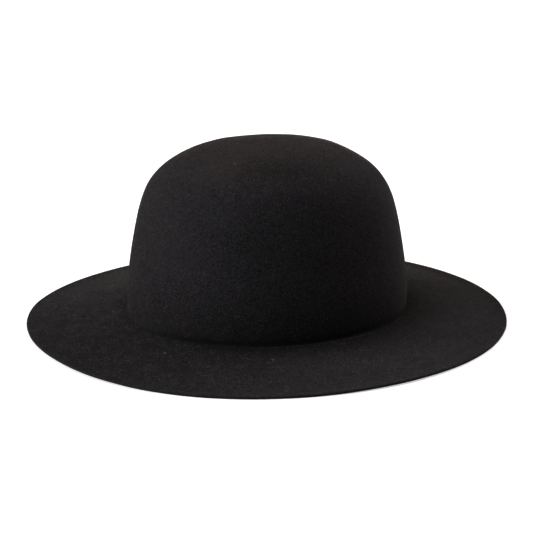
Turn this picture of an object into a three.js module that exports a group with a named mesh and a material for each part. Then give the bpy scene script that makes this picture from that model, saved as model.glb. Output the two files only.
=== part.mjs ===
// Wide-brim felt hat with an open, round crown, blocked in one piece of felt.
// Millimetres, +Z up. The hat's front faces -Y, and the origin lies on the surface that the
// brim's edge rests on, under the middle of the brim.

import * as THREE from 'three';

// Driving sizes
const footLength = 200;
const footWidth = 172;
const crownHeight = 121.5;
const crownLean = 1.8;
const brimWidth = 71;
const brimLonger = 1.2;
const brimRise = 10.5;
const feltThickness = 2;
const frontFoldRadius = 2.5;
const backFoldRadius = 1;
const restBand = 4;
const frontLift = 3;
const frontLiftReach = 62;

// The crown's sections from its foot to its top. height is a share of the crown's height above the
// fold, and half is a share of the foot's half width.
const crownSections = [
  { height: 0.0, half: 1.0 },
  { height: 0.07, half: 1.003 },
  { height: 0.25, half: 0.984 },
  { height: 0.44, half: 0.943 },
  { height: 0.6, half: 0.898 },
  { height: 0.72, half: 0.838 },
  { height: 0.81, half: 0.748 },
  { height: 0.885, half: 0.62 },
  { height: 0.945, half: 0.461 },
  { height: 0.985, half: 0.229 },
  { height: 1.0, half: 0.0 },
];

// Shares of the brim's slope over which it leaves the level at the fold and returns to it at the edge
const foldEase = 0.12;
const edgeEase = 0.1;

// Facets
const stepsRound = 64;
const stepsPerSection = 2;
const foldSteps = 3;
const brimSteps = 7;
const bandSteps = 2;

const feltColour = 0x1b1a1b;
const feltRoughness = 0.95;

const halfWidth = footWidth / 2;
const halfLength = footLength / 2;
const foldHeight = feltThickness + brimRise;

// The oval of the crown's foot at a turn about Z, with the way straight out from it
function footOval(turn) {
  const out = new THREE.Vector2(halfLength * Math.sin(turn), -halfWidth * Math.cos(turn)).normalize();
  return { x: halfWidth * Math.sin(turn), y: -halfLength * Math.cos(turn), out };
}

function foldRadius(turn) {
  const towardsFront = (1 + Math.cos(turn)) / 2;
  return THREE.MathUtils.lerp(backFoldRadius, frontFoldRadius, towardsFront);
}

// The brim is a little longer in front and behind than it is wide at the sides.
function brimReach(turn) {
  return brimWidth + brimLonger * Math.cos(2 * turn);
}

// The edge lifts off the surface at the front, over a reach in degrees to each side.
function edgeLift(turn) {
  const degrees = THREE.MathUtils.radToDeg(turn);
  const away = Math.abs(THREE.MathUtils.euclideanModulo(degrees + 180, 360) - 180);
  return away < frontLiftReach ? (frontLift * (1 + Math.cos((Math.PI * away) / frontLiftReach))) / 2 : 0;
}

// The share of the brim's fall at a share of its slope: level, then straight, then level again
function brimFall(share) {
  const steepness = 1 / (1 - foldEase / 2 - edgeEase / 2);
  if (share < foldEase) {
    return (steepness * share ** 2) / (2 * foldEase);
  }
  if (share > 1 - edgeEase) {
    return 1 - (steepness * (1 - share) ** 2) / (2 * edgeEase);
  }
  return steepness * (share - foldEase / 2);
}

// A section draws in by the same distance all the way round at the shoulder, and by the same share
// near the top, so that the oval closes to a point. The rounded top leans to the front.
function crownPoint(turn, { height, half }) {
  const drawnIn = 1 - half;
  const aspect = halfWidth / halfLength;
  const lengthShare = 1 - drawnIn * (aspect + (1 - aspect) * drawnIn);
  const foldTop = foldRadius(turn);
  const foot = footOval(turn);
  return new THREE.Vector3(
    foot.x * half,
    foot.y * lengthShare - crownLean * height ** 4,
    foldHeight + foldTop + (crownHeight - foldTop) * height,
  );
}

function outsidePoint(turn, distance, z) {
  const foot = footOval(turn);
  return new THREE.Vector3(foot.x + foot.out.x * distance, foot.y + foot.out.y * distance, z);
}

function foldPoint(turn, share) {
  const radius = foldRadius(turn);
  const angle = (share * Math.PI) / 2;
  return outsidePoint(turn, radius * (1 - Math.cos(angle)), foldHeight + radius * (1 - Math.sin(angle)));
}

function brimPoint(turn, share) {
  const start = foldRadius(turn);
  const distance = THREE.MathUtils.lerp(start, brimReach(turn) - restBand, share);
  const z = foldHeight - brimRise * brimFall(share) + edgeLift(turn) * share ** 2;
  return outsidePoint(turn, distance, z);
}

// The band at the edge ends short of the full width, which the rounded cut reaches.
function bandPoint(turn, share) {
  const distance = brimReach(turn) - restBand + share * (restBand - feltThickness / 4);
  return outsidePoint(turn, distance, feltThickness + edgeLift(turn));
}

// The crown's curve runs on past the top by one mirrored section, so that the top is level.
function crownCurve() {
  const points = crownSections.map(({ height, half }) => new THREE.Vector2(half, height));
  const beforeTop = points[points.length - 2];
  points.push(new THREE.Vector2(-beforeTop.x, beforeTop.y));
  return new THREE.SplineCurve(points);
}

// The stations along the upper face from just below the crown's top to the brim's edge, each a
// function of the turn
function upperStations() {
  const curve = crownCurve();
  const spans = crownSections.length - 1;
  const stations = [];
  for (let i = spans * stepsPerSection - 1; i >= 0; i--) {
    const at = curve.getPoint(i / stepsPerSection / (spans + 1));
    stations.push((turn) => crownPoint(turn, { height: at.y, half: at.x }));
  }
  for (let i = 1; i <= foldSteps; i++) {
    stations.push((turn) => foldPoint(turn, i / foldSteps));
  }
  for (let i = 1; i <= brimSteps; i++) {
    stations.push((turn) => brimPoint(turn, i / brimSteps));
  }
  for (let i = 1; i <= bandSteps; i++) {
    stations.push((turn) => bandPoint(turn, i / bandSteps));
  }
  return stations;
}

function ringAt(station) {
  return Array.from({ length: stepsRound }, (_, j) => station((2 * Math.PI * j) / stepsRound));
}

// The under face lies one felt thickness inside the upper one, square to it.
function underRings(rings, top) {
  return rings.map((ring, i) => ring.map((point, j) => {
    const before = i > 0 ? rings[i - 1][j] : top;
    const after = i < rings.length - 1 ? rings[i + 1][j] : point;
    const next = ring[(j + 1) % stepsRound];
    const previous = ring[(j + stepsRound - 1) % stepsRound];
    const outwards = new THREE.Vector3().subVectors(after, before);
    const around = new THREE.Vector3().subVectors(next, previous);
    const normal = new THREE.Vector3().crossVectors(outwards, around).normalize();
    return point.clone().addScaledVector(normal, -feltThickness);
  }));
}

function cutEdgeRing() {
  return ringAt((turn) => outsidePoint(turn, brimReach(turn), feltThickness / 2 + edgeLift(turn)));
}

// One closed skin: from the top of the crown over the upper face, round the cut edge and back along
// the under face to the inside of the top
function feltGeometry() {
  const top = new THREE.Vector3(0, -crownLean, foldHeight + crownHeight);
  const insideTop = new THREE.Vector3(top.x, top.y, top.z - feltThickness);
  const upper = upperStations().map(ringAt);
  const under = underRings(upper, top).reverse();
  const rings = [...upper, cutEdgeRing(), ...under];
  const points = [top, ...rings.flat(), insideTop];
  const last = points.length - 1;
  const faces = [];
  for (let j = 0; j < stepsRound; j++) {
    const next = (j + 1) % stepsRound;
    faces.push(0, 1 + j, 1 + next);
    for (let i = 0; i < rings.length - 1; i++) {
      const near = 1 + i * stepsRound;
      const far = near + stepsRound;
      faces.push(near + j, far + j, far + next);
      faces.push(near + j, far + next, near + next);
    }
    faces.push(last, last - stepsRound + next, last - stepsRound + j);
  }
  const geometry = new THREE.BufferGeometry().setFromPoints(points);
  geometry.setIndex(faces);
  geometry.computeVertexNormals();
  return geometry;
}

function feltBody() {
  const felt = new THREE.MeshStandardMaterial({
    color: feltColour,
    roughness: feltRoughness,
    metalness: 0,
  });
  const mesh = new THREE.Mesh(feltGeometry(), felt);
  mesh.name = 'felt_body';
  return mesh;
}

const hat = new THREE.Group();
hat.add(feltBody());

export default hat;
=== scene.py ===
# Wide-brim black felt hat with an open round crown, dressed over its solid model.
# Metres, +Z up. The hat's front faces -Y, and it rests on its brim at z = 0.
# A turn goes round the hat from its front towards +X, in degrees in these values and in radians in
# the functions. A share is a part of one.

import math

import bpy
import numpy as np
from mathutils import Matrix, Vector, noise


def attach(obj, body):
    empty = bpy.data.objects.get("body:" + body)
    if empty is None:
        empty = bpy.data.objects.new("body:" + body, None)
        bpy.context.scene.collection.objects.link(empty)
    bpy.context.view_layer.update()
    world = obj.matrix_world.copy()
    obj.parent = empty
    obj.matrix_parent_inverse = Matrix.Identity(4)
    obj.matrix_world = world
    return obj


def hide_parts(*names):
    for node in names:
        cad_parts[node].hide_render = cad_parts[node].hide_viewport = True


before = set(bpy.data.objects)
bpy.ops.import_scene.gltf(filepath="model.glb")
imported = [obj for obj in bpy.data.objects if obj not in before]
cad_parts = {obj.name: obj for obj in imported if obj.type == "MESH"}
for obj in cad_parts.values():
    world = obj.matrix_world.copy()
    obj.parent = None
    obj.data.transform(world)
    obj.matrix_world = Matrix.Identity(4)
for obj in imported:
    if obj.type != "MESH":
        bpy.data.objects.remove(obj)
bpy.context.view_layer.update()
MM = 0.001

# Sizes of the hat, as in its solid model
FOOT_LENGTH = 200 * MM
FOOT_WIDTH = 172 * MM
CROWN_HEIGHT = 121.5 * MM
CROWN_LEAN = 1.8 * MM
BRIM_WIDTH = 71 * MM
BRIM_LONGER = 1.2 * MM
BRIM_RISE = 10.5 * MM
FELT_THICKNESS = 2 * MM
FRONT_FOLD_RADIUS = 2.5 * MM
BACK_FOLD_RADIUS = 1 * MM
REST_BAND = 4 * MM
FRONT_LIFT = 3 * MM
FRONT_LIFT_REACH = 62
FOLD_EASE = 0.12
EDGE_EASE = 0.1
FOLD_HEIGHT = FELT_THICKNESS + BRIM_RISE

# The crown's sections: share of its height above the fold, share of the foot's half width
CROWN_SECTIONS = [
    {"height": 0.0, "half": 1.0},
    {"height": 0.07, "half": 1.003},
    {"height": 0.25, "half": 0.984},
    {"height": 0.44, "half": 0.943},
    {"height": 0.6, "half": 0.898},
    {"height": 0.72, "half": 0.838},
    {"height": 0.81, "half": 0.748},
    {"height": 0.885, "half": 0.62},
    {"height": 0.945, "half": 0.461},
    {"height": 0.985, "half": 0.229},
    {"height": 1.0, "half": 0.0},
]

# Rings down the brim's rounded cut edge: how far each is drawn in, and how high it lies as a share
# of the felt's thickness
CUT_EDGE = [
    {"inset": 0.15 * MM, "level": 0.9},
    {"inset": 0.0, "level": 0.7},
    {"inset": 0.0, "level": 0.3},
    {"inset": 0.15 * MM, "level": 0.1},
]

# Soft swells and hollows of the crown. Each lies at a turn and a share of the crown's height, with
# its reach in degrees and in share of height, and stands out in metres.
CROWN_SWELLS = [
    {"turn": -20, "height": 0.83, "round": 50, "along": 0.12, "out": 0.6 * MM},
    {"turn": -11, "height": 0.36, "round": 40, "along": 0.3, "out": 0.6 * MM},
    {"turn": 34, "height": 0.84, "round": 13, "along": 0.05, "out": 0.7 * MM},
    {"turn": 40, "height": 0.95, "round": 30, "along": 0.035, "out": -0.6 * MM},
    {"turn": 85, "height": 0.9, "round": 25, "along": 0.04, "out": -0.4 * MM},
    {"turn": 140, "height": 0.97, "round": 45, "along": 0.04, "out": 0.4 * MM},
]

# The felt's unevenness, a coarse noise and a fine one, each noise with an offset of its own. On the
# crown it grows from none at the fold over a share of the height. Across the brim's slope it follows
# half a sine wave, widened by a power under one.
CROWN_UNEVEN = 0.45 * MM
BRIM_UNEVEN = 0.4 * MM
UNEVEN_SIZE = 42 * MM
UNEVEN_OFFSET = 3.7
FINE_UNEVEN_SHARE = 0.35
FINE_UNEVEN_SIZE = UNEVEN_SIZE / 3
FINE_UNEVEN_OFFSET = 9.1
SMOOTH_FOOT = 0.15
BRIM_SINE_POWER = 0.7

# The groove pressed along the fold, deepest at the back and gone in front
GROOVE_DEPTH = 0.7 * MM
GROOVE_REACH = 2.5 * MM

# The brim's edge lifts in one soft wave at a side, and wavers as a hand-cut edge does.
EDGE_WAVE_TURN = 114
EDGE_WAVE_REACH = 20
EDGE_WAVE_HEIGHT = 0.9 * MM
EDGE_WANDER = 0.35 * MM
EDGE_WANDER_SIZE = 28 * MM
EDGE_WANDER_OFFSET = 5.3

# Pale: how much of the felt's pale fibre shows, with painted shade and painted light in it. It is low
# at the fold as painted shade and grows from there up the crown over a share of the height, and out
# along the brim over a share of the slope, which is shorter in front. The brim's edge is painted
# darker in front and lighter at the back, as painted shade and painted light.
FRONT_FOLD_SHADED_PALE = 0.85
BACK_FOLD_SHADED_PALE = 0.3
CROWN_PALE = 1.22
FRONT_EDGE_SHADED_PALE = 0.83
BACK_EDGE_LIT_PALE = 1.18
CUT_PALE = 1.9
CROWN_PALE_GROWTH = 0.32
BRIM_PALE_GROWTH = 0.75
BRIM_PALE_SOONER = 0.2

# Painted highlights and painted shade on the crown, given as its swells are, each adding to the pale
# fibre share: lighter where positive, darker where negative
PAINTED_LIGHT_PLACES = [
    {"turn": 38, "height": 0.887, "round": 15, "along": 0.05, "more": 0.6},
    {"turn": 33, "height": 0.62, "round": 32, "along": 0.4, "more": 0.5},
    {"turn": 84, "height": 0.93, "round": 22, "along": 0.035, "more": -0.42},
    {"turn": 110, "height": 0.99, "round": 70, "along": 0.025, "more": 0.3},
    {"turn": 146, "height": 0.894, "round": 20, "along": 0.05, "more": 0.25},
    {"turn": 100, "height": 0.79, "round": 18, "along": 0.12, "more": -0.4},
    {"turn": 152, "height": 0.45, "round": 18, "along": 0.4, "more": 0.55},
]

# Nap: how thickly the loose fibres stand. It comes in tufts, and there is more of it in front.
CROWN_NAP = 0.8
BRIM_NAP = 2.5
UNDER_NAP = 0.7
INSIDE_NAP = 0.2
NAP_TUFTS = 2.2
NAP_TUFT_SIZE = 6 * MM
NAP_TUFT_OFFSET = 4.4
LEAST_TUFT = 0.1
FRONT_NAP_MORE = 1.0
FRONT_NAP_POWER = 3

# Painted shade in the crease: the pale fibre and the nap are cut back there, over a reach above and
# beyond the fold. It fades out to the front between two turns, and its reach on the brim grows from
# the front side to the back.
CREASE_PAINTED_SHADE = 0.93
CREASE_STARTS = 5
CREASE_IS_FULL = 48
CREASE_REACH_CROWN = 2.5 * MM
CREASE_REACH_FRONT = 4 * MM
CREASE_REACH_BACK = 14 * MM
CREASE_WIDENS = (38, 90)

# Steps of the fine mesh, and the ring at which each stretch of its upper face starts
STEPS_ROUND = 320
STEPS_PER_SECTION = 8
FOLD_STEPS = 9
BRIM_STEPS = 34
BAND_STEPS = 3
FOLD_START = (len(CROWN_SECTIONS) - 1) * STEPS_PER_SECTION
BRIM_START = FOLD_START + FOLD_STEPS
BAND_START = BRIM_START + BRIM_STEPS
UPPER_RINGS = BAND_START + BAND_STEPS
RING_COUNT = 2 * UPPER_RINGS + len(CUT_EDGE)

# The felt's colours and its faint sheen. The crown's top carries a painted warm highlight, more and
# more from one height up to another.
FELT_DARK = (0.0017, 0.0015, 0.0016, 1)
FELT_LIGHT = (0.0212, 0.0198, 0.0212, 1)
FELT_TOP_HIGHLIGHT = (0.0222, 0.0188, 0.0184, 1)
TOP_HIGHLIGHT_FROM = 114 * MM
TOP_HIGHLIGHT_FULLY = 130 * MM
FELT_ROUGHNESS = 1.0
FELT_SPECULAR = 0.1
SHEEN_WEIGHT = 0.25
SHEEN_ROUGHNESS = 0.08
SHEEN_TINT = (1.0, 0.84, 0.74, 1)

# The felt's mottle, from noises of three sizes by weight. Fibre turns pale between two levels of it.
FIBRE_NOISE = {"size": 0.9 * MM, "detail": 4.0, "roughness": 0.7, "distortion": 1.0}
CLUMP_NOISE = {"size": 3.2 * MM, "detail": 3.0, "roughness": 0.6, "distortion": 0.6}
PATCH_NOISE = {"size": 34 * MM, "detail": 3.0, "roughness": 0.5, "distortion": 0.0}
MOTTLE_WEIGHTS = (0.75, 0.17, 0.08)
MOTTLE_START = 0.38
MOTTLE_FULL = 0.62

# Slim hairs in the felt, in three directions, each by angles in radians about X, Y and Z. A hair is
# where a noise, turned so and stretched, is highest.
HAIR_DIRECTIONS = [
    {"angles": (0.3, 0.5, 0.2), "size": 2.6 * MM},
    {"angles": (1.2, 0.1, 1.4), "size": 2.2 * MM},
    {"angles": (0.7, 1.3, 2.3), "size": 3.0 * MM},
]
HAIR_NOISE = {"detail": 1.0, "roughness": 0.5, "distortion": 0.4}
HAIR_SLIMNESS = 9
HAIR_START = 0.66
HAIR_FULL = 0.78
HAIR_COLOUR = (0.04, 0.037, 0.037, 1)
HAIR_SHARE = 0.4

# The nap's relief, from fibres, clumps and hairs by weight
NAP_WEIGHTS = (0.6, 0.5, 0.2)
NAP_DEPTH = 0.25 * MM

# Loose fibres that stand off the felt: thin bent blades, each of two triangles. Rise and bend are
# shares of the length, and the outer half rises less than the inner one by the droop.
FIBRE_COUNT = 95000
FIBRE_CORNERS = 4
FIBRE_LENGTH = (0.7 * MM, 2.2 * MM)
FIBRE_WIDTH = 0.055 * MM
FIBRE_RISE = (0.15, 0.6)
FIBRE_DROOP = 0.5
FIBRE_BEND = 0.35
FIBRE_SEED = 8
FLOOR_CLEARANCE = 0.05 * MM
FIBRE_DARK = (0.02, 0.0185, 0.0192, 1)
FIBRE_LIGHT = (0.138, 0.128, 0.131, 1)
SHADE_NOISE = {"size": 1.5 * MM, "detail": 0.0, "roughness": 0.55, "distortion": 0.0}
SHADE_START = 0.35
SHADE_FULL = 0.65
FIBRE_ROUGHNESS = 0.8
FIBRE_SPECULAR = 0.2

# Specks of pale lint caught in the nap, on the crown at a share of its height and on the brim at a
# share of its slope
LINT_PLACES = [
    {"turn": 51, "height": 0.952, "fibres": 20},
    {"turn": 42, "brim": 0.32, "fibres": 70},
    {"turn": 353, "brim": 0.12, "fibres": 30},
    {"turn": 79, "brim": 0.3, "fibres": 30},
    {"turn": 214, "brim": 0.6, "fibres": 40},
    {"turn": 290, "height": 0.7, "fibres": 20},
]
LINT_SIZE = 0.4 * MM

# The camera, at the photograph's angle
CAMERA_AZIMUTH = 75.8
CAMERA_ELEVATION = 18.5
CAMERA_DISTANCE = 2.0
CAMERA_CLIP_END = 60.0
SENSOR_WIDTH = 36.0
PHOTO_WIDTH = 533
PIXELS_PER_METRE = 1406
AIM_RIGHT = -0.8 * MM
AIM_HEIGHT = 40.7 * MM

# Wide soft lights round the hat, as large studio panels far away give, each spread over the same
# angle. azimuth is from the camera's side, positive to the image's right, and elevation is above the
# floor. Angles are in degrees, and strength is in W/m2.
LIGHT_SPREAD = 34
LIGHT_DISTANCE = 2.0
SOFT_LIGHTS = [
    {"name": "low_front", "azimuth": -30, "elevation": 10, "strength": 0.7, "colour": (1.0, 0.88, 0.76)},
    {"name": "front_left", "azimuth": -60, "elevation": 32, "strength": 1.85, "colour": (0.77, 0.84, 1.0)},
    {"name": "side_left", "azimuth": -90, "elevation": 32, "strength": 1.72, "colour": (1.0, 0.93, 0.82)},
    {"name": "low_right", "azimuth": 75, "elevation": 10, "strength": 0.35, "colour": (1.0, 0.95, 0.95)},
    {"name": "back_right", "azimuth": 120, "elevation": 32, "strength": 1.64, "colour": (1.0, 0.94, 0.96)},
    {"name": "low_back", "azimuth": 150, "elevation": 32, "strength": 0.52, "colour": (1.0, 0.83, 0.7)},
    {"name": "high_back", "azimuth": 180, "elevation": 58, "strength": 0.7, "colour": (1.0, 0.88, 0.87)},
]

# The floor glows a little, so that it stays white beside the hat.
FLOOR_RADIUS = 9.0
FLOOR_STEPS = 96
FLOOR_COLOUR = (0.88, 0.88, 0.88, 1)
FLOOR_ROUGHNESS = 0.9
FLOOR_SPECULAR = 0.1
FLOOR_GLOW = 0.5
WHITE = (1, 1, 1, 1)


def direction(azimuth, elevation):
    """The way towards an azimuth from the hat's front and an elevation, both in degrees."""
    azimuth = math.radians(azimuth)
    elevation = math.radians(elevation)
    return Vector((
        math.sin(azimuth) * math.cos(elevation),
        -math.cos(azimuth) * math.cos(elevation),
        math.sin(elevation),
    ))


def place_facing(thing, location, away):
    """Put a camera or a light in the scene, looking back along the way given."""
    thing.location = location
    thing.rotation_mode = "QUATERNION"
    thing.rotation_quaternion = (-away).to_track_quat("-Z", "Y")
    bpy.context.scene.collection.objects.link(thing)


def add_camera():
    azimuth = math.radians(CAMERA_AZIMUTH)
    back = direction(CAMERA_AZIMUTH, CAMERA_ELEVATION)
    right = Vector((math.cos(azimuth), math.sin(azimuth), 0))
    aim = right * AIM_RIGHT + Vector((0, 0, AIM_HEIGHT))
    data = bpy.data.cameras.new("camera")
    data.sensor_width = SENSOR_WIDTH
    data.lens = SENSOR_WIDTH * PIXELS_PER_METRE * CAMERA_DISTANCE / PHOTO_WIDTH
    data.clip_end = CAMERA_CLIP_END
    camera = bpy.data.objects.new("camera", data)
    place_facing(camera, aim + back * CAMERA_DISTANCE, back)
    bpy.context.scene.camera = camera


def smooth_noise(points, size, offset):
    """Even noise between about -1 and 1 at an array of points, the same on each run."""
    flat = points.reshape(-1, 3) / size + offset
    values = [noise.noise(Vector(point)) for point in flat.tolist()]
    return np.array(values).reshape(points.shape[:-1])


def eased(value, start, end):
    """A share that grows smoothly from 0 at start to 1 at end."""
    share = np.clip((value - start) / (end - start), 0, 1)
    return share * share * (3 - 2 * share)


def towards_front(turn):
    """1 at the hat's front and 0 at its back."""
    return (1 + np.cos(turn)) / 2


def degrees_away(turn, degrees):
    """How far each turn lies from one given in degrees, either way round."""
    return np.abs((np.degrees(turn) - degrees + 180) % 360 - 180)


def foot_oval(turn):
    """Points of the crown's foot at an array of turns, and the way straight out from each."""
    foot = np.stack([FOOT_WIDTH / 2 * np.sin(turn), -FOOT_LENGTH / 2 * np.cos(turn)], -1)
    out = np.stack([FOOT_LENGTH / 2 * np.sin(turn), -FOOT_WIDTH / 2 * np.cos(turn)], -1)
    return foot, out / np.linalg.norm(out, axis=-1, keepdims=True)


def fold_radius(turn):
    return BACK_FOLD_RADIUS + (FRONT_FOLD_RADIUS - BACK_FOLD_RADIUS) * towards_front(turn)


def brim_reach(turn):
    """The brim's width at an array of turns, with the slight waver of a hand-cut edge."""
    edge_radius = FOOT_LENGTH / 2 + BRIM_WIDTH
    around = np.column_stack([np.cos(turn), np.sin(turn), np.zeros_like(turn)]) * edge_radius
    waver = EDGE_WANDER * smooth_noise(around, EDGE_WANDER_SIZE, EDGE_WANDER_OFFSET)
    return BRIM_WIDTH + BRIM_LONGER * np.cos(2 * turn) + waver


def edge_lift(turn):
    """How far the brim's edge lifts off the floor: in front, and in one soft wave at the side."""
    away = degrees_away(turn, 0)
    front = FRONT_LIFT * (1 + np.cos(np.pi * away / FRONT_LIFT_REACH)) / 2
    wave = EDGE_WAVE_HEIGHT * np.exp(-(degrees_away(turn, EDGE_WAVE_TURN) / EDGE_WAVE_REACH) ** 2)
    return np.where(away < FRONT_LIFT_REACH, front, 0) + wave


def brim_fall(share):
    """The share of the brim's fall at a share of its slope: level, then straight, then level."""
    steepness = 1 / (1 - FOLD_EASE / 2 - EDGE_EASE / 2)
    if share < FOLD_EASE:
        return steepness * share ** 2 / (2 * FOLD_EASE)
    if share > 1 - EDGE_EASE:
        return 1 - steepness * (1 - share) ** 2 / (2 * EDGE_EASE)
    return steepness * (share - FOLD_EASE / 2)


def brim_shares():
    """The share of the brim's slope at each of its rings."""
    return np.arange(1, BRIM_STEPS + 1) / BRIM_STEPS


def outside_ring(turn, distance, z):
    """A ring at a distance outside the crown's foot."""
    foot, out = foot_oval(turn)
    flat = foot + out * np.broadcast_to(distance, turn.shape)[:, None]
    return np.column_stack([flat, np.broadcast_to(z, turn.shape)])


def crown_ring(turn, height, half):
    """A section of the crown. It draws in by the same distance all the way round at the shoulder and
    by the same share near the top, so that the oval closes to a point, and it leans to the front."""
    drawn_in = 1 - half
    aspect = FOOT_WIDTH / FOOT_LENGTH
    length_share = 1 - drawn_in * (aspect + (1 - aspect) * drawn_in)
    fold_top = fold_radius(turn)
    foot, _ = foot_oval(turn)
    return np.column_stack([
        foot[:, 0] * half,
        foot[:, 1] * length_share - CROWN_LEAN * height ** 4,
        FOLD_HEIGHT + fold_top + (CROWN_HEIGHT - fold_top) * height,
    ])


def crown_profile():
    """(height, half) pairs from just below the top to the fold, on a smooth curve through the
    sections. The curve runs on past the top by one mirrored section, so that the top is level."""
    points = [np.array([row["height"], row["half"]]) for row in CROWN_SECTIONS]
    points.append(points[-2] * np.array([1, -1]))
    made = []
    for i in range(len(CROWN_SECTIONS) - 1):
        before, start, end, after = points[max(i - 1, 0)], points[i], points[i + 1], points[i + 2]
        leave = (end - before) / 2
        arrive = (after - start) / 2
        for step in range(STEPS_PER_SECTION):
            t = step / STEPS_PER_SECTION
            bend = (2 * start - 2 * end + leave + arrive) * t ** 3
            made.append(bend + (3 * end - 3 * start - 2 * leave - arrive) * t ** 2 + leave * t + start)
    return made[::-1]


def crown_heights():
    """The share of the crown's height at each of its rings."""
    return np.array([height for height, half in crown_profile()])


def upper_rings(turn):
    """Rings of the upper face, from just below the crown's top to the brim's edge."""
    rings = [crown_ring(turn, height, half) for height, half in crown_profile()]
    radius = fold_radius(turn)
    for i in range(1, FOLD_STEPS + 1):
        angle = i / FOLD_STEPS * math.pi / 2
        z = FOLD_HEIGHT + radius * (1 - math.sin(angle))
        rings.append(outside_ring(turn, radius * (1 - math.cos(angle)), z))
    for share in brim_shares():
        distance = radius + (brim_reach(turn) - REST_BAND - radius) * share
        z = FOLD_HEIGHT - BRIM_RISE * brim_fall(share) + edge_lift(turn) * share ** 2
        rings.append(outside_ring(turn, distance, z))
    for i in range(1, BAND_STEPS + 1):
        distance = brim_reach(turn) - REST_BAND + i / BAND_STEPS * (REST_BAND - FELT_THICKNESS / 4)
        rings.append(outside_ring(turn, distance, FELT_THICKNESS + edge_lift(turn)))
    return np.array(rings)


def cut_edge_rings(turn):
    lift = edge_lift(turn)
    return np.array([
        outside_ring(turn, brim_reach(turn) - row["inset"], FELT_THICKNESS * row["level"] + lift)
        for row in CUT_EDGE
    ])


def spots(rows, key, turn, height):
    """Sum of soft round spots on the crown at each turn and share of its height."""
    total = 0
    for row in rows:
        away = degrees_away(turn, row["turn"]) / row["round"]
        along = (height - row["height"]) / row["along"]
        total = total + row[key] * np.exp(-away ** 2 - along ** 2)
    return total


def distance_from_fold(rings, turn):
    """How far each point lies from the line of the fold."""
    foot, _ = foot_oval(turn)
    return np.linalg.norm(rings - np.column_stack([foot, np.full(len(turn), FOLD_HEIGHT)]), axis=-1)


def relief(rings, turn):
    """How far the upper face stands out from its smooth form at each point of its rings."""
    coarse = smooth_noise(rings, UNEVEN_SIZE, UNEVEN_OFFSET)
    fine = smooth_noise(rings, FINE_UNEVEN_SIZE, FINE_UNEVEN_OFFSET)
    uneven = coarse + FINE_UNEVEN_SHARE * fine
    height = (rings[..., 2] - FOLD_HEIGHT) / CROWN_HEIGHT
    off_foot = np.clip(height / SMOOTH_FOOT, 0, 1) ** 2
    crown = off_foot * (CROWN_UNEVEN * uneven + spots(CROWN_SWELLS, "out", turn, height))
    crown[FOLD_START:] = 0
    across_brim = np.zeros((UPPER_RINGS, 1))
    across_brim[BRIM_START:BAND_START, 0] = np.sin(np.pi * brim_shares()) ** BRIM_SINE_POWER
    off_fold = distance_from_fold(rings, turn)
    groove = GROOVE_DEPTH * (1 - towards_front(turn) ** 2) * np.exp(-(off_fold / GROOVE_REACH) ** 2)
    return crown + BRIM_UNEVEN * uneven * across_brim - groove


def ring_normals(rings, top):
    """The way out of the upper face at each of its points."""
    inner = np.concatenate([np.broadcast_to(top, (1,) + rings.shape[1:]), rings[:-1]])
    outer = np.concatenate([rings[1:], rings[-1:]])
    around = np.roll(rings, -1, axis=1) - np.roll(rings, 1, axis=1)
    normals = np.cross(outer - inner, around)
    return normals / np.linalg.norm(normals, axis=-1, keepdims=True)


def painted_crease_shade_factor(upper, turn):
    """How much each point of the upper face keeps of its pale fibre and its nap beside the crease, where
    painted shade darkens it.
    """
    from_front = degrees_away(turn, 0)
    widened = eased(from_front, *CREASE_WIDENS)
    reach = np.full(upper.shape[:2], CREASE_REACH_CROWN)
    reach[FOLD_START:] = CREASE_REACH_FRONT + (CREASE_REACH_BACK - CREASE_REACH_FRONT) * widened
    dark = CREASE_PAINTED_SHADE * eased(from_front, CREASE_STARTS, CREASE_IS_FULL)
    return 1 - dark * np.exp(-(distance_from_fold(upper, turn) / reach) ** 2)


def pale_and_painted_shade_of_rings(upper, turn):
    """Share of pale fibre at each point, with painted shade and light in it: little in the fold as
    painted shade, more on the crown and towards the edge.
    """
    heights = crown_heights()[:, None]
    front = towards_front(turn) ** 2
    # Pale at the fold, kept low as painted shade, and at the brim's edge, painted darker in front and
    # lighter at the back
    fold = BACK_FOLD_SHADED_PALE + (FRONT_FOLD_SHADED_PALE - BACK_FOLD_SHADED_PALE) * front
    edge = BACK_EDGE_LIT_PALE + (FRONT_EDGE_SHADED_PALE - BACK_EDGE_LIT_PALE) * front
    up_crown = eased(heights, 0, CROWN_PALE_GROWTH)
    brim_growth = BRIM_PALE_GROWTH - BRIM_PALE_SOONER * towards_front(turn) ** 0.5
    along_brim = eased(brim_shares()[:, None], 0, brim_growth)
    pale = np.ones((RING_COUNT, STEPS_ROUND))
    pale[:FOLD_START] = fold + (CROWN_PALE - fold) * up_crown
    # Painted highlights and painted shade on the crown
    pale[:FOLD_START] += spots(PAINTED_LIGHT_PLACES, "more", turn, heights)
    pale[FOLD_START:BRIM_START] = fold
    pale[BRIM_START:BAND_START] = fold + (edge - fold) * along_brim
    pale[BAND_START:UPPER_RINGS] = edge
    # Painted shade along the crease
    pale[:UPPER_RINGS] *= painted_crease_shade_factor(upper, turn)
    pale[UPPER_RINGS:-UPPER_RINGS] = CUT_PALE
    return pale


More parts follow.
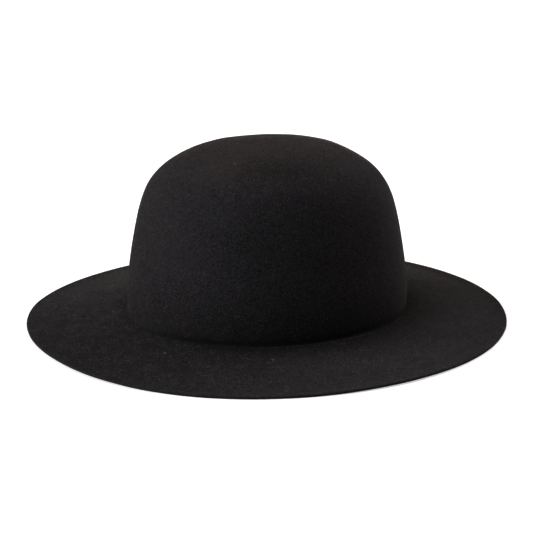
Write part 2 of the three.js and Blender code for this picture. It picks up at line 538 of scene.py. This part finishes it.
def nap_of_rings(upper, turn):
    """How thickly loose fibres stand at each point."""
    nap = np.full((RING_COUNT, STEPS_ROUND), INSIDE_NAP)
    nap[:BRIM_START] = CROWN_NAP
    nap[BRIM_START:UPPER_RINGS] = BRIM_NAP
    nap[UPPER_RINGS:-BRIM_START] = UNDER_NAP
    tufts = 1 + NAP_TUFTS * smooth_noise(upper, NAP_TUFT_SIZE, NAP_TUFT_OFFSET)
    worn = 1 + FRONT_NAP_MORE * towards_front(turn) ** FRONT_NAP_POWER
    # Fewer pale loose fibres beside the crease, as painted shade
    nap[:UPPER_RINGS] *= painted_crease_shade_factor(upper, turn) * np.maximum(tufts, LEAST_TUFT) * worn
    return nap


def add_values(mesh, name, on_rings):
    """Keep a value at each point of the mesh. The two tops take that of the ring beside them."""
    attribute = mesh.attributes.new(name, "FLOAT", "POINT")
    values = np.concatenate([on_rings[0, :1], on_rings.reshape(-1), on_rings[-1, -1:]])
    attribute.data.foreach_set("value", values.astype(np.float32))


def skin_faces():
    """Faces of one closed skin, from the crown's top by way of the rings to the inside of the top."""
    last = 1 + RING_COUNT * STEPS_ROUND
    faces = []
    for j in range(STEPS_ROUND):
        following = (j + 1) % STEPS_ROUND
        faces.append((0, 1 + j, 1 + following))
        for i in range(RING_COUNT - 1):
            near = 1 + i * STEPS_ROUND
            far = near + STEPS_ROUND
            faces.append((near + j, far + j, far + following, near + following))
        faces.append((last, last - STEPS_ROUND + following, last - STEPS_ROUND + j))
    return faces


def felt_mesh():
    turn = np.arange(STEPS_ROUND) * 2 * math.pi / STEPS_ROUND
    top = np.array([0, -CROWN_LEAN, FOLD_HEIGHT + CROWN_HEIGHT])
    upper = upper_rings(turn)
    upper += ring_normals(upper, top) * relief(upper, turn)[..., None]
    under = (upper - ring_normals(upper, top) * FELT_THICKNESS)[::-1]
    rings = np.concatenate([upper, cut_edge_rings(turn), under])
    inside_top = top - [0, 0, FELT_THICKNESS]
    vertices = np.concatenate([[top], rings.reshape(-1, 3), [inside_top]])
    mesh = bpy.data.meshes.new("felt")
    mesh.from_pydata(vertices.tolist(), [], skin_faces())
    mesh.shade_smooth()
    add_values(mesh, "pale", pale_and_painted_shade_of_rings(upper, turn))
    add_values(mesh, "nap", nap_of_rings(upper, turn))
    return mesh


class NodeTree:
    """Short calls for building one material's nodes."""

    def __init__(self, name):
        self.material = bpy.data.materials.new(name)
        self.material.use_nodes = True
        self.nodes = self.material.node_tree.nodes
        self.links = self.material.node_tree.links
        self.shader = self.nodes["Principled BSDF"]
        self.place = self.nodes.new("ShaderNodeTexCoord").outputs["Object"]

    def feed(self, socket, value):
        if isinstance(value, bpy.types.NodeSocket):
            self.links.new(value, socket)
        else:
            socket.default_value = value

    def attribute(self, name):
        node = self.nodes.new("ShaderNodeAttribute")
        node.attribute_name = name
        return node.outputs["Fac"]

    def level(self):
        node = self.nodes.new("ShaderNodeSeparateXYZ")
        self.feed(node.inputs["Vector"], self.place)
        return node.outputs["Z"]

    def noise(self, size, detail, roughness, distortion, place=None):
        node = self.nodes.new("ShaderNodeTexNoise")
        self.feed(node.inputs["Vector"], place or self.place)
        node.inputs["Scale"].default_value = 1 / size
        node.inputs["Detail"].default_value = detail
        node.inputs["Roughness"].default_value = roughness
        node.inputs["Distortion"].default_value = distortion
        return node.outputs["Fac"]

    def turned(self, angles, stretch):
        node = self.nodes.new("ShaderNodeMapping")
        self.feed(node.inputs["Vector"], self.place)
        node.inputs["Rotation"].default_value = angles
        node.inputs["Scale"].default_value = stretch
        return node.outputs["Vector"]

    def math(self, operation, first, second):
        node = self.nodes.new("ShaderNodeMath")
        node.operation = operation
        self.feed(node.inputs[0], first)
        self.feed(node.inputs[1], second)
        return node.outputs[0]

    def weighed(self, values, weights):
        total = self.math("MULTIPLY", values[0], weights[0])
        for value, weight in zip(values[1:], weights[1:]):
            total = self.math("ADD", total, self.math("MULTIPLY", value, weight))
        return total

    def ramp(self, value, start, end):
        node = self.nodes.new("ShaderNodeMapRange")
        self.feed(node.inputs["Value"], value)
        node.inputs["From Min"].default_value = start
        node.inputs["From Max"].default_value = end
        return node.outputs["Result"]

    def mix(self, share, first, second):
        node = self.nodes.new("ShaderNodeMix")
        node.data_type = "RGBA"
        self.feed(node.inputs["Factor"], share)
        self.feed(node.inputs["A"], first)
        self.feed(node.inputs["B"], second)
        return node.outputs["Result"]

    def bump(self, height, depth):
        node = self.nodes.new("ShaderNodeBump")
        node.inputs["Distance"].default_value = depth
        self.feed(node.inputs["Height"], height)
        return node.outputs["Normal"]

    def finish(self, colour, roughness, specular):
        self.feed(self.shader.inputs["Base Color"], colour)
        self.shader.inputs["Roughness"].default_value = roughness
        self.shader.inputs["Specular IOR Level"].default_value = specular


def felt_hairs(tree):
    hairs = 0.0
    for row in HAIR_DIRECTIONS:
        place = tree.turned(row["angles"], (1, HAIR_SLIMNESS, HAIR_SLIMNESS))
        layer = tree.noise(row["size"], **HAIR_NOISE, place=place)
        hairs = tree.math("MAXIMUM", hairs, tree.ramp(layer, HAIR_START, HAIR_FULL))
    return hairs


def felt_material():
    tree = NodeTree("black_felt")
    fibres = tree.noise(**FIBRE_NOISE)
    clumps = tree.noise(**CLUMP_NOISE)
    patches = tree.noise(**PATCH_NOISE)
    hairs = felt_hairs(tree)
    mottle = tree.weighed([fibres, clumps, patches], MOTTLE_WEIGHTS)
    pale = tree.math("MULTIPLY", tree.ramp(mottle, MOTTLE_START, MOTTLE_FULL), tree.attribute("pale"))
    # Painted warm highlight on the crown's top
    top_highlight = tree.ramp(tree.level(), TOP_HIGHLIGHT_FROM, TOP_HIGHLIGHT_FULLY)
    colour = tree.mix(pale, FELT_DARK, tree.mix(top_highlight, FELT_LIGHT, FELT_TOP_HIGHLIGHT))
    colour = tree.mix(tree.math("MULTIPLY", hairs, HAIR_SHARE), colour, HAIR_COLOUR)
    height = tree.weighed([fibres, clumps, hairs], NAP_WEIGHTS)
    tree.finish(colour, FELT_ROUGHNESS, FELT_SPECULAR)
    tree.feed(tree.shader.inputs["Normal"], tree.bump(height, NAP_DEPTH))
    tree.shader.inputs["Sheen Weight"].default_value = SHEEN_WEIGHT
    tree.shader.inputs["Sheen Roughness"].default_value = SHEEN_ROUGHNESS
    tree.shader.inputs["Sheen Tint"].default_value = SHEEN_TINT
    return tree.material


def mesh_triangles(mesh):
    """A mesh's triangles, as the numbers of their corners and as points."""
    mesh.calc_loop_triangles()
    corners = np.empty(len(mesh.loop_triangles) * 3, dtype=np.int32)
    mesh.loop_triangles.foreach_get("vertices", corners)
    flat = np.empty(len(mesh.vertices) * 3, dtype=np.float32)
    mesh.vertices.foreach_get("co", flat)
    return corners, flat.reshape(-1, 3)[corners].reshape(-1, 3, 3).astype(float)


def surface_points(mesh, count, rng):
    """Points spread over a mesh as thickly as its nap says, with the normal at each."""
    corners, triangles = mesh_triangles(mesh)
    cross = np.cross(triangles[:, 1] - triangles[:, 0], triangles[:, 2] - triangles[:, 0])
    area = np.linalg.norm(cross, axis=1)
    nap = np.empty(len(mesh.vertices), dtype=np.float32)
    mesh.attributes["nap"].data.foreach_get("value", nap)
    weight = area * nap[corners].reshape(-1, 3).mean(1).astype(float)
    chosen = rng.choice(len(triangles), size=count, p=weight / weight.sum())
    share = rng.random((count, 2))
    over = share.sum(1) > 1
    share[over] = 1 - share[over]
    picked = triangles[chosen]
    points = (
        picked[:, 0]
        + (picked[:, 1] - picked[:, 0]) * share[:, :1]
        + (picked[:, 2] - picked[:, 0]) * share[:, 1:]
    )
    return points, cross[chosen] / area[chosen, None]


def lint_points(mesh, rng):
    """The roots of the fibres of all the specks of lint, with the normal at each."""
    heights = crown_heights()
    points = []
    normals = []
    for row in LINT_PLACES:
        step = round(row["turn"] / 360 * STEPS_ROUND) % STEPS_ROUND
        if "height" in row:
            ring = int(np.argmin(np.abs(heights - row["height"])))
        else:
            ring = BRIM_START - 1 + round(row["brim"] * BRIM_STEPS)
        vertex = mesh.vertices[1 + ring * STEPS_ROUND + step]
        normal = np.array(vertex.normal)
        aside = rng.normal(scale=LINT_SIZE, size=(row["fibres"], 3))
        points.append(np.array(vertex.co) + aside - (aside @ normal)[:, None] * normal)
        normals.append(np.tile(normal, (row["fibres"], 1)))
    return np.concatenate(points), np.concatenate(normals)


def fibre_mesh(felt):
    rng = np.random.default_rng(FIBRE_SEED)
    loose_root, loose_normal = surface_points(felt, FIBRE_COUNT, rng)
    lint_root, lint_normal = lint_points(felt, rng)
    root = np.concatenate([loose_root, lint_root])
    normal = np.concatenate([loose_normal, lint_normal])
    count = len(root)
    aside = np.cross(normal, rng.normal(size=root.shape))
    aside /= np.linalg.norm(aside, axis=1, keepdims=True)
    across = np.cross(normal, aside)
    length = rng.uniform(*FIBRE_LENGTH, size=(count, 1))
    rise = rng.uniform(*FIBRE_RISE, size=(count, 1))
    bend = rng.uniform(-FIBRE_BEND, FIBRE_BEND, size=(count, 1))
    along = aside * (1 - rise / 2)
    middle = root + (along + normal * rise + across * bend) * length / 2
    tip = middle + (along + normal * (rise - FIBRE_DROOP) - across * bend) * length / 2
    half = across * FIBRE_WIDTH / 2
    points = np.stack([root, middle - half, tip, middle + half], axis=1).reshape(-1, 3)
    points[:, 2] = np.maximum(points[:, 2], FLOOR_CLEARANCE)
    faces = np.arange(len(points)).reshape(-1, FIBRE_CORNERS)
    mesh = bpy.data.meshes.new("loose_fibres")
    mesh.from_pydata(points.tolist(), [], faces.tolist())
    lint = np.zeros(len(points), dtype=np.float32)
    lint[FIBRE_CORNERS * FIBRE_COUNT:] = 1
    mesh.attributes.new("lint", "FLOAT", "POINT").data.foreach_set("value", lint)
    return mesh


def fibre_material():
    tree = NodeTree("loose_wool")
    shade = tree.ramp(tree.noise(**SHADE_NOISE), SHADE_START, SHADE_FULL)
    shade = tree.math("MAXIMUM", shade, tree.attribute("lint"))
    tree.finish(tree.mix(shade, FIBRE_DARK, FIBRE_LIGHT), FIBRE_ROUGHNESS, FIBRE_SPECULAR)
    return tree.material


def add_hat():
    hat = bpy.data.objects.new("felt_hat", felt_mesh())
    bpy.context.scene.collection.objects.link(hat)
    hat.data.materials.append(felt_material())
    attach(hat, "root")
    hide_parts("felt_body")
    return hat


def add_fibres(hat):
    fibres = bpy.data.objects.new("loose_fibres", fibre_mesh(hat.data))
    bpy.context.scene.collection.objects.link(fibres)
    fibres.data.materials.append(fibre_material())
    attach(fibres, "root")


def floor_material():
    material = bpy.data.materials.new("pale_floor")
    material.use_nodes = True
    shader = material.node_tree.nodes["Principled BSDF"]
    shader.inputs["Base Color"].default_value = FLOOR_COLOUR
    shader.inputs["Roughness"].default_value = FLOOR_ROUGHNESS
    shader.inputs["Specular IOR Level"].default_value = FLOOR_SPECULAR
    shader.inputs["Emission Color"].default_value = WHITE
    shader.inputs["Emission Strength"].default_value = FLOOR_GLOW
    return material


def add_floor():
    """A wide pale disc. It throws no light up at the hat, so the underside stays dark."""
    ring = []
    for i in range(FLOOR_STEPS):
        angle = 2 * math.pi * i / FLOOR_STEPS
        ring.append((FLOOR_RADIUS * math.cos(angle), FLOOR_RADIUS * math.sin(angle), 0))
    mesh = bpy.data.meshes.new("floor")
    mesh.from_pydata(ring, [], [tuple(range(FLOOR_STEPS))])
    mesh.materials.append(floor_material())
    floor = bpy.data.objects.new("floor", mesh)
    bpy.context.scene.collection.objects.link(floor)
    floor.visible_diffuse = False


def add_lights():
    for row in SOFT_LIGHTS:
        data = bpy.data.lights.new(row["name"], "SUN")
        data.angle = math.radians(LIGHT_SPREAD)
        data.energy = row["strength"]
        data.color = row["colour"]
        away = direction(CAMERA_AZIMUTH + row["azimuth"], row["elevation"])
        place_facing(bpy.data.objects.new(row["name"], data), away * LIGHT_DISTANCE, away)


def add_world():
    """A white world behind the hat, which the camera sees and which lights nothing."""
    world = bpy.data.worlds.new("world")
    bpy.context.scene.world = world
    world.use_nodes = True
    background = world.node_tree.nodes["Background"]
    background.inputs["Color"].default_value = WHITE
    background.inputs["Strength"].default_value = 1.0
    world.cycles_visibility.diffuse = False
    world.cycles_visibility.glossy = False


add_camera()
add_fibres(add_hat())
add_floor()
add_lights()
add_world()
bpy.context.scene.view_settings.view_transform = "Standard"
